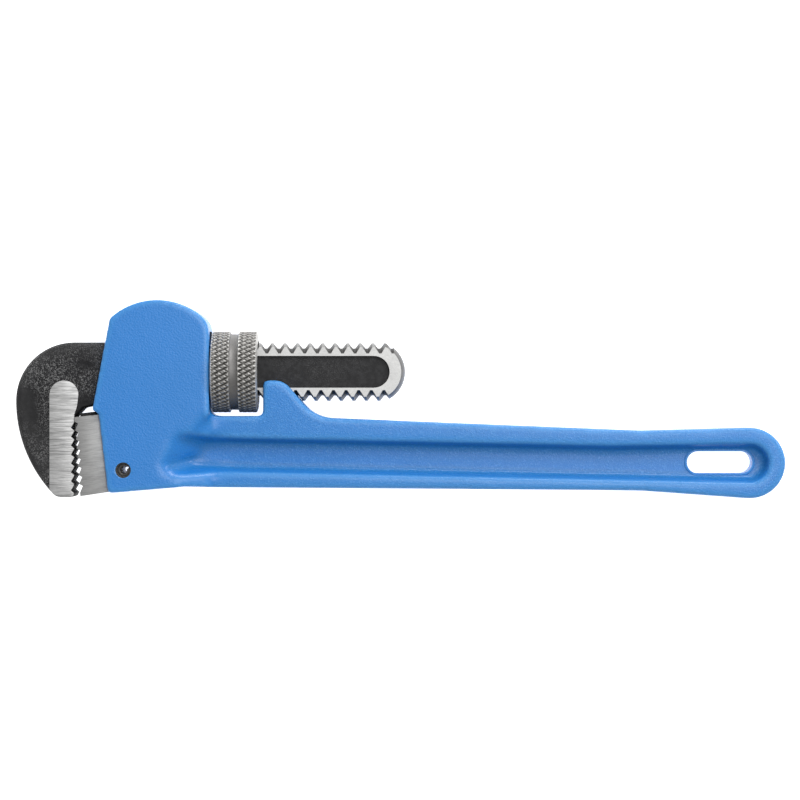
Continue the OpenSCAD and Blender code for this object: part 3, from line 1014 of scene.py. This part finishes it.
@dataclass
class HookJaw:
    """The forged hook with its ground face, teeth and flat threaded shank.

    Args:
        bench: the bench that it is drawn on.
        casting: the handle casting, whose mouth it enters.
        head_t: thickness of the forged head.
        pad_w: width of the ground face.
        bend_r: radius of the hook's outer bend.
        back_r: radius of its long back.
        jaw_len: length of the row of teeth.
        shank_t: thickness of the shank.
        hollow_r: radius of the round ends of the hollow in each of its sides.
        phase: how far the thread's form is moved along the shank, as a share of a pitch.
        rock: how far the jaw rocks, in degrees.
        nut_r: radius of the nut, whose lower edge it rocks about.
    """

    bench: Bench
    casting: HandleCasting
    head_t: float = 19.2
    pad_w: float = 10.4
    bend_r: float = 24.5
    back_r: float = 57.0
    jaw_len: float = 34.0
    shank_t: float = 12.8
    hollow_r: float = THREAD[0] * 0.51
    phase: float = -0.225
    rock: float = 3.0
    nut_r: float = 17.1

    def __post_init__(self) -> None:
        """Reads the outer sizes from the frame and works out the main points."""
        low, high = self.bench.box("hook_jaw")
        self.left = low.x
        self.tail = high.x
        self.tip = low.y
        self.top = high.y
        self.pad_half = high.z
        self.bend = (self.left + self.bend_r, self.top - self.bend_r)
        self.tooth_x = self.bend[0] + 0.3
        self.jaw_top = self.tip + self.jaw_len

    def shoulder_x(self, y: float) -> float:
        """Returns where the head's shoulder stands at a height, with room in the mouth to rock."""
        room = (y + self.nut_r) * math.sin(math.radians(self.rock)) + 0.45
        return self.casting.front_x(y) + self.casting.mouth_depth - room

    def head(self) -> bpy.types.Object:
        """Returns the forged head with rounded edges."""
        back = (self.left + self.back_r, self.bend[1])
        tip_r, rim = 5.0, 3.4
        tip_a = 180 + math.degrees(math.asin((back[1] - self.tip - tip_r) / (self.back_r - tip_r)))
        tip = polar(back, self.back_r - tip_r, tip_a)
        under = -THREAD[0] - 1.2
        core_x = self.tooth_x - TOOTH[1] - 0.6
        sketch = Sketch().to((self.shoulder_x(self.top), self.top))
        sketch.arc(self.bend, self.bend_r, 90, 175.5, 19).arc(back, self.back_r, 180, tip_a - 2.5, 16)
        sketch.arc(tip, tip_r, tip_a, 268, 6)
        x, top = self.tooth_x, self.jaw_top
        sketch.to((core_x, self.tip), (core_x, top + 1), (x, top - 0.3))
        sketch.to((x + 1.2, top + 1.2), (x + 3.4, top + 3.5), radius=0.9)
        sketch.to((self.shoulder_x(under), under))

        def share(middle: Vector) -> float:
            """Returns a full radius on the outer bend and a small one by the teeth and the housing."""
            inside = middle.x > self.tooth_x - 3 and middle.y < self.top - 1
            return 0.3 if inside else 1.0

        return slab(sketch, -self.head_t / 2, self.head_t / 2, rim, 5, share)

    def pad(self) -> bpy.types.Object:
        """Returns the ground face with the teeth cut through it."""
        x, top, tip = self.tooth_x, self.jaw_top, self.tip
        left = x - self.pad_w
        crown_r, crown_h, lean = 6.1, 8.9, 0.66
        sketch = Sketch().to((left, tip + 3.4)).arc((left + crown_r, top + crown_h), crown_r, 180, 0, 20)
        sketch.to((x + 1.2, top + 4.3), (x, top + 0.5))
        sketch.teeth((x, top - 2.4), (x, tip + 0.8), *TOOTH, -1, lean)
        sketch.to((x - 0.8, tip + 0.2), (x - 1.6, tip), (left + 4.5, tip), (left + 1.6, tip + 1.3))
        return slab(sketch, -self.pad_half, self.pad_half, 0.12, 2)

    def shank(self) -> bpy.types.Object:
        """Returns the threaded bar: a turned thread with two flats, a domed end and a hollow in each side."""
        crest, root, pitch = THREAD
        form = [(0.0, 0.85), (0.03, 1.0), (0.23, 1.0), (0.26, 0.85), (0.50, 0.13), (0.53, 0.0), (0.73, 0.0),
                (0.76, 0.13), (1.0, 0.85)]
        half = self.shank_t / 2
        dome_r = 13.1
        thread = threaded_rod(root, crest, pitch, -1, 19, form, self.phase)
        dome = bmesh.new()
        bmesh.ops.create_uvsphere(dome, u_segments=64, v_segments=40, radius=dome_r,
                                  matrix=Matrix.Translation((self.tail - dome_r, 0, 0)))
        side = 30
        behind = block((-80, -side, -side), (self.tail - dome_r, side, side))
        end = combine(to_object(dome, "dome"), "UNION", behind)
        plain = block((self.left + self.bend_r + 12, -crest, -half), (-0.6, self.top, half))
        bar = combine(thread, "INTERSECT", block((-4, -side, -half), (self.tail + 1, side, half)), end)
        combine(bar, "UNION", plain)
        start, stop = -24, self.tail - 7 - self.hollow_r
        hollow, wide = (Sketch().arc((stop, 0), r, -90, 90, 20).arc((start, 0), r, 90, 270, 20)
                        for r in (self.hollow_r, self.hollow_r + 0.9))
        cut = loft(hollow, half - 1, wide, half + 1)
        return combine(bar, "DIFFERENCE", mirrored(cut))

    def build(self, forging: Forging, face: GroundSteel, shank: GroundSteel, hollow: Forging,
              thread: GunMetal) -> None:
        """Forges and machines the jaw, as a head and a shank, which are one steel piece on a real wrench.

        Args:
            forging: finish of the forged skin.
            face: finish of the ground face.
            shank: finish of the shank's flats.
            hollow: finish of the hollow in the shank and of the teeth's flanks.
            thread: finish of the thread.
        """
        head = combine(self.head(), "UNION", self.pad())
        modify(head, "TRIANGULATE")
        modify(head, "BEVEL", limit_method="ANGLE", angle_limit=math.radians(50), width=0.07, segments=1)
        bar = self.shank()
        materials = [finish.build() for finish in (forging, face, shank, hollow, thread)]
        for piece in (head, bar):
            mark_rims(piece, reach=0.25, rounds=1)
            shade(piece, crease=32)
            dress(piece, *materials)
        for polygon in head.data.polygons:
            at = polygon.center
            toothed = at.x > self.tooth_x - TOOTH[1] - 0.1 and at.y < self.jaw_top
            flank = toothed and polygon.normal.x > 0.2
            polygon.material_index = 1 if abs(at.z) > self.pad_half - 0.08 else 3 * int(flank)
        flat = self.shank_t / 2 - 0.02
        for polygon in bar.data.polygons:
            away, up = abs(polygon.center.z), abs(polygon.normal.z)
            sunk = abs(polygon.center.y) < self.hollow_r + 1 and polygon.center.x < self.tail - 6
            polygon.material_index = 2 if away > flat and up > 0.9 else 3 if sunk else 4
        finish_piece(self.bench, head, "hook_head", "hook_jaw", Slot.FORGING, "hook_jaw")
        finish_piece(self.bench, bar, "threaded_shank", "hook_jaw", Slot.FORGING, "hook_jaw")


@dataclass
class AdjustingNut:
    """The knurled nut.

    Args:
        bench: the bench that it is drawn on.
        groove: width and depth of the smooth groove.
        rim: size of the chamfers.
        columns: diamonds around each knurled band.
        lead: length of a diamond along the axis.
        bite: depth of the knurl.
        thread_gap: play between its thread and the shank's.
    """

    bench: Bench
    groove: Point = (3.6, 1.1)
    rim: float = 0.85
    columns: int = 48
    lead: float = 4.1
    bite: float = 0.62
    thread_gap: float = 0.3

    def __post_init__(self) -> None:
        """Reads the nut's size from the frame."""
        low, high = self.bench.box("adjusting_nut")
        self.left, self.right, self.radius = low.x, high.x, high.y

    def profile(self) -> list[Point]:
        """Returns the outer profile as x and radius, with the bands finely stepped."""
        width, depth = self.groove
        middle = (self.left + self.right) / 2
        steps = 16

        def band(start: float, end: float) -> list[Point]:
            """Returns the stepped line of one knurled band."""
            return [(start + (end - start) * i / steps, self.radius) for i in range(steps + 1)]

        rim, floor = self.rim, self.radius - depth
        left, right = middle - width / 2, middle + width / 2
        corner = [(0.0, 2.4), (0.3, 1.15), (0.6, 0.35)]
        wall = [(0.0, self.radius - 0.35), (0.15, floor + 0.15), (0.5, floor)]
        return [*((self.left + rim * x, self.radius - rim * r) for x, r in corner),
                *band(self.left + rim, left - 0.2),
                *((left + x, r) for x, r in wall),
                *((right - x, r) for x, r in reversed(wall)),
                *band(right + 0.2, self.right - rim),
                *((self.right - rim * x, self.radius - rim * r) for x, r in reversed(corner))]

    def knurl(self, x: float, turn: float) -> float:
        """Returns how deep the knurl is at a place, from its two crossing sets of V grooves."""
        u, v = turn / math.tau * self.columns, x / self.lead
        ways = [abs((t + 0.5) % 1 - 0.5) for t in (u + v, u - v)]
        flat = 0.33
        height = min(ways[0], 0.05 + ways[1] * 1.4, flat) / flat
        return self.bite * (1 - height ** 0.85)

    def blank(self) -> bpy.types.Object:
        """Returns the turned and knurled nut before it is threaded."""
        around = self.columns * 8
        mesh = bmesh.new()
        bore_r = 8.0
        points = [(self.left, bore_r), *self.profile(), (self.right, bore_r)]
        line = [mesh.verts.new((x, r, 0)) for x, r in points]
        edges = [mesh.edges.new(pair) for pair in zip(line, line[1:])]
        bmesh.ops.spin(mesh, geom=line + edges, cent=(0, 0, 0), axis=(1, 0, 0), angle=math.tau, steps=around,
                       use_merge=True)
        bmesh.ops.remove_doubles(mesh, verts=mesh.verts[:], dist=0.001)
        ends = [edge for edge in mesh.edges if edge.is_boundary]
        bmesh.ops.bridge_loops(mesh, edges=ends)
        for vert in mesh.verts:
            radius = math.hypot(vert.co.y, vert.co.z)
            if radius > self.radius - 0.01:
                deep = self.knurl(vert.co.x, math.atan2(vert.co.z, vert.co.y))
                vert.co.yz = Vector((vert.co.y, vert.co.z)) * (1 - deep / radius)
        bmesh.ops.recalc_face_normals(mesh, faces=mesh.faces)
        return to_object(mesh, "nut")

    def build(self, finish: GunMetal, turned: GunMetal) -> None:
        """Turns, knurls and taps the nut.

        Args:
            finish: its finish.
            turned: finish of its smooth groove.
        """
        crest, root, pitch = THREAD
        gap = self.thread_gap
        form = [(0.0, 1.0), (0.24, 1.0), (0.55, 0.0), (0.65, 0.0), (1.0, 1.0)]
        nut = self.blank()
        tap = threaded_rod(root + gap, crest + gap, pitch, -2, 8, form, -0.24)
        mouth = [rod(crest + gap + 0.6, (x - 0.8, 0, 0), (x + 0.8, 0, 0), 72)
                 for x in (self.left, self.right)]
        combine(nut, "DIFFERENCE", tap, *mouth)
        mark_rims(nut, reach=0.12, rounds=1)
        shade(nut, crease=30)
        dress(nut, finish.build(), turned.build())
        middle = (self.left + self.right) / 2
        for polygon in nut.data.polygons:
            in_groove = abs(polygon.center.x - middle) < self.groove[0] / 2 + 0.05
            outside = math.hypot(polygon.center.y, polygon.center.z) > self.radius - self.groove[1] - 0.3
            polygon.material_index = int(in_groove and outside)
        finish_piece(self.bench, nut, "knurled_nut", "nut", Slot.NUT, "adjusting_nut")


@dataclass
class HeelJaw:
    """The replaceable jaw in the housing, with its tongue.

    Args:
        bench: the bench that it is drawn on.
        width: its width at its inner end.
        length: its length.
        tilt: lean of its teeth, in degrees.
        tongue_t: thickness of the tongue.
        tongue_l: length of the tongue.
    """

    bench: Bench
    width: float = 10.4
    length: float = 34.0
    tilt: float = 4.4
    tongue_t: float = 10.0
    tongue_l: float = 13.0

    def build(self, casting: HandleCasting, finish: GroundSteel, dark: Forging) -> None:
        """Mills the jaw.

        Args:
            casting: the handle casting, which has its seat.
            finish: its finish.
            dark: finish of its teeth and its ledge.
        """
        half = self.bench.box("heel_jaw")[1].z
        seat_x, seat_y = casting.seat
        top = (seat_x - self.width, seat_y - self.width * math.sin(math.radians(casting.seat_tilt)))
        lean = math.radians(self.tilt)

        def down(run: float) -> Point:
            """Returns a point so far down the line of the teeth."""
            return top[0] + run * math.sin(lean), top[1] - run * math.cos(lean)

        sketch = Sketch().to(casting.along_seat(0.4), (top[0], top[1] - 0.4))
        sketch.teeth(down(2.2), down(self.length - 1), *TOOTH, 1, 0.26)
        sketch.to(down(self.length - 0.4), casting.along_seat(self.length - 0.8))
        jaw = slab(sketch, -half, half, 0.22, 2)
        first, last, root, ledge_half = 4.8, 29.2, -0.5, half - 2.5
        corners = ((first, root), (last, root), (last, self.tongue_l), (first, self.tongue_l))
        tongue = Sketch().to(*(casting.along_seat(run, inward) for run, inward in corners))
        ledge = Sketch().to((top[0] + 1.6, top[1] - 2), (seat_x - 1.6, seat_y - 2),
                            (seat_x - 1.6, seat_y + 0.75), (top[0] + 2.6, top[1] + 1.3))
        combine(jaw, "UNION", slab(tongue, -self.tongue_t / 2, self.tongue_t / 2),
                slab(ledge, -ledge_half, ledge_half))
        combine(jaw, "DIFFERENCE", casting.pin_drill())
        mark_rims(jaw, reach=0.2)
        shade(jaw, crease=30)
        dress(jaw, finish.build(), dark.build())
        for polygon in jaw.data.polygons:
            toothed = polygon.normal.x < -0.2 and abs(polygon.normal.z) < 0.3
            above = polygon.center.y > top[1] + 0.2 and polygon.center.x < seat_x - 1
            polygon.material_index = int(toothed or above)
        finish_piece(self.bench, jaw, "heel_jaw_steel", "handle", Slot.JAW, "heel_jaw")


@dataclass
class SmallSteel:
    """The slotted spring pin and the spring set over the shank.

    Args:
        bench: the bench that they are drawn on.
        pin_r: radius of the pin.
        pin_wall: its wall.
        slit: width of its slit.
        wire_r: radius of the coil's wire.
        coil_turns: turns of the coil.
    """

    bench: Bench
    pin_r: float = 2.5
    pin_wall: float = 1.0
    slit: float = 1.0
    wire_r: float = 0.6
    coil_turns: int = 5

    def pin(self, finish: GunMetal) -> None:
        """Rolls the slotted pin, with a chamfer at each end."""
        low, high = self.bench.box("heel_jaw_pin")
        middle = (low + high) / 2
        gap = math.degrees(self.slit / self.pin_r)
        inner = self.pin_r - self.pin_wall
        start = 35 + gap / 2
        sketch = Sketch().arc((middle.x, middle.y), self.pin_r, start, start + 360 - gap, 40)
        sketch.arc((middle.x, middle.y), inner, start + 360 - gap * 1.3, start + gap * 0.3, 28)
        pin = slab(sketch, low.z, high.z, 0.28, 2)
        mark_rims(pin, reach=0.12)
        shade(pin, crease=30)
        dress(pin, finish.build())
        finish_piece(self.bench, pin, "slotted_pin", "handle", Slot.SPRING, "heel_jaw_pin")

    def coil(self, finish: GunMetal) -> None:
        """Winds the coil spring and finds the points of its foot and its head."""
        low, high = self.bench.box("coil_spring")
        middle = (low + high) / 2
        mean_r = (high.x - low.x) / 2 - self.wire_r
        rise = high.y - low.y - 2 * self.wire_r
        steps = 32 * self.coil_turns
        mesh = bmesh.new()
        place = Matrix.Translation((middle.x + mean_r, low.y + self.wire_r, middle.z))
        ring = bmesh.ops.create_circle(mesh, cap_ends=True, radius=self.wire_r, segments=12,
                                       matrix=place)["verts"]
        rim = list({edge for vert in ring for edge in vert.link_edges})
        grown = bmesh.ops.spin(mesh, geom=ring + rim, cent=middle, axis=(0, 1, 0), dvec=(0, rise / steps, 0),
                               angle=math.tau * self.coil_turns, steps=steps, use_merge=False)["geom_last"]
        bmesh.ops.contextual_create(mesh, geom=only(grown, bmesh.types.BMEdge))
        bmesh.ops.remove_doubles(mesh, verts=mesh.verts[:], dist=0.0005)
        bmesh.ops.recalc_face_normals(mesh, faces=mesh.faces)
        coil = to_object(mesh, "coil")
        mark_rims(coil, reach=0.2)
        shade(coil, crease=40)
        dress(coil, finish.build())
        finish_piece(self.bench, coil, "coil_spring_wire", "", Slot.SPRING, "coil_spring")
        collar_h = 2.6
        foot, head = (self.bench.origin + Vector((middle.x, y, middle.z)) * MM
                      for y in (low.y + collar_h, high.y))
        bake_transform(coil)
        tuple(foot)
        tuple(head)

    def dress_frame(self, finish: GunMetal) -> None:
        """Gives the flat spring and its rivet, whose shapes stay as they are, a blued finish."""
        material = finish.build()
        for name in ("flat_spring", "spring_rivet"):
            dress(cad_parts[name], material)
            LOG.info("%s keeps its shape", name)


@dataclass
class Studio:
    """A pale floor, soft light and a camera that looks straight down.

    Args:
        distance: from the wrench's middle plane to the camera, in metres.
        span: width of the view at that plane, in metres.
        aim: where the camera stands over the wrench, in metres.
        sky: strength of the light from all around.
    """

    distance: float = 1.2
    span: float = 0.3382
    aim: Point = (-0.0002, -0.0003)
    sky: float = 0.41

    def floor(self) -> None:
        """Lays the floor under the wrench."""
        mesh = bmesh.new()
        half = 3.0
        bmesh.ops.create_grid(mesh, x_segments=2, y_segments=2, size=half,
                              matrix=Matrix.Translation((0, 0, CAD_BOX[0].z - 0.0004)))
        floor = to_object(mesh, "floor")
        graph = Graph("floor_paper")
        floor.data.materials.append(graph.shine(Base_Color=(0.9, 0.9, 0.9), Roughness=0.9,
                                                Emission_Color=(1.0, 1.0, 1.0), Emission_Strength=0.95))

    def light(self) -> None:
        """Hangs the soft lights."""
        world = bpy.data.worlds.new("studio")
        world.use_nodes = True
        sky = world.node_tree.nodes["Background"]
        sky.inputs["Color"].default_value = (1.0, 1.0, 1.0, 1.0)
        sky.inputs["Strength"].default_value = self.sky
        bpy.context.scene.world = world
        for name, place, size, power in (("key_box", (0.35, 1.10, 0.75), 0.7, 10.2),
                                         ("side_box", (1.10, 0.45, 0.80), 0.35, 3.2),
                                         ("over_box", (0.25, 0.25, 1.60), 0.8, 7.8)):
            data = bpy.data.lights.new(name, "AREA")
            data.shape = "DISK"
            data.size = size
            data.energy = power
            lamp = bpy.data.objects.new(name, data)
            lamp.location = place
            lamp.rotation_euler = (-Vector(place)).to_track_quat("-Z", "Y").to_euler()
            bpy.context.scene.collection.objects.link(lamp)

    def camera(self) -> None:
        """Stands the camera over the wrench."""
        data = bpy.data.cameras.new("camera")
        data.lens = data.sensor_width * self.distance / self.span
        camera = bpy.data.objects.new("camera", data)
        middle = (CAD_BOX[0].z + CAD_BOX[1].z) / 2
        camera.location = (*self.aim, middle + self.distance)
        bpy.context.scene.collection.objects.link(camera)
        bpy.context.scene.camera = camera

    def build(self) -> None:
        """Sets the whole studio up."""
        self.floor()
        self.light()
        self.camera()
        bpy.context.scene.view_settings.view_transform = "Standard"


def main() -> None:
    logging.basicConfig(level=logging.INFO, format="%(message)s")
    Studio().build()
    bench = Bench.at_nut(nut_gap=0.3)
    casting = HandleCasting(bench)
    casting.build(PowderCoat(), Forging("bored_iron", colour=(0.020, 0.019, 0.018), cover=0.2))
    HookJaw(bench, casting).build(
        Forging(),
        GroundSteel("ground_jaw_face", colour=(0.70, 0.70, 0.695), dark=(0.26, 0.26, 0.26), run=26.0,
                    line=0.20, bite=1.1),
        GroundSteel("shank_flats", colour=(0.62, 0.62, 0.61), run=2.0, line=0.3, bite=0.35),
        Forging("shank_hollow", colour=(0.026, 0.026, 0.027), fleck=(0.14, 0.14, 0.14), cover=0.35),
        GunMetal("threaded_steel", colour=(0.12, 0.118, 0.115), bright=(0.4, 0.4, 0.4), rub_and_highlight=0.5),
    )
    AdjustingNut(bench).build(
        GunMetal("knurled_steel"),
        GunMetal("turned_groove", colour=(0.19, 0.185, 0.18), bright=(0.5, 0.5, 0.5), hollow_shading=0.0),
    )
    HeelJaw(bench).build(
        casting,
        GroundSteel("milled_jaw", colour=(0.42, 0.42, 0.415), dark=(0.20, 0.20, 0.20), degrees=-8.0,
                    run=16.0, line=0.3, bite=0.6),
        Forging("dark_heel", colour=(0.010, 0.010, 0.010), cover=0.1),
    )
    small = SmallSteel(bench)
    spring = GunMetal("blued_spring_steel", colour=(0.07, 0.068, 0.066), bright=(0.30, 0.29, 0.28))
    small.pin(spring)
    small.coil(spring)
    small.dress_frame(spring)


if __name__ == "__main__":
    main()
